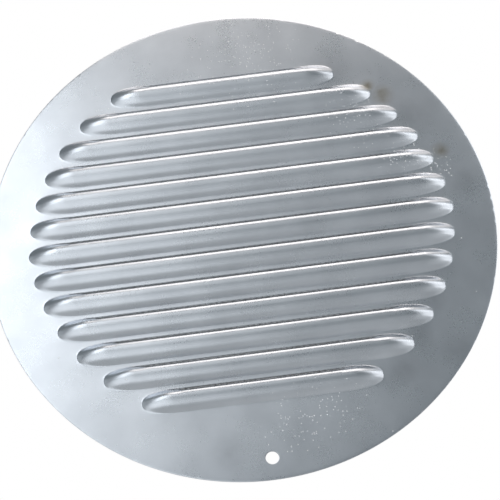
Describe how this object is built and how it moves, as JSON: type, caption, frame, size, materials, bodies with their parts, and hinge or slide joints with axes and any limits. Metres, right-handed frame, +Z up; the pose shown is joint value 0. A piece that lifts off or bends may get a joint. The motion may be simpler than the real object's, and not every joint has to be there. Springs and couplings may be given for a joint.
{
  "type": "louvred vent plate",
  "caption": "Round pressed aluminium vent plate with fixed louvres, a screw hole near its edge and a fly screen bonded behind it.",
  "frame": {"origin": "centre of the plate's flat back face, which lies against the wall, soffit or ceiling around the duct's opening", "axes": "-Y out of the louvred face, +Z up with the louvres' slits facing up and the screw hole at the bottom, +X along the louvres"},
  "size_m": [0.18, 0.0051, 0.18],
  "materials": {
    "sheet_aluminium": "satin",
    "band_aluminium": "satin",
    "screen_wire": "satin",
    "adhesive": "matte"
  },
  "bodies": {
    "root": {"louvre_plate": "sheet_aluminium", "adhesive_bead": "adhesive", "screen_rim_band": "band_aluminium", "screen_warp_wires": "screen_wire", "screen_weft_wires": "screen_wire"}
  },
  "joints": []
}
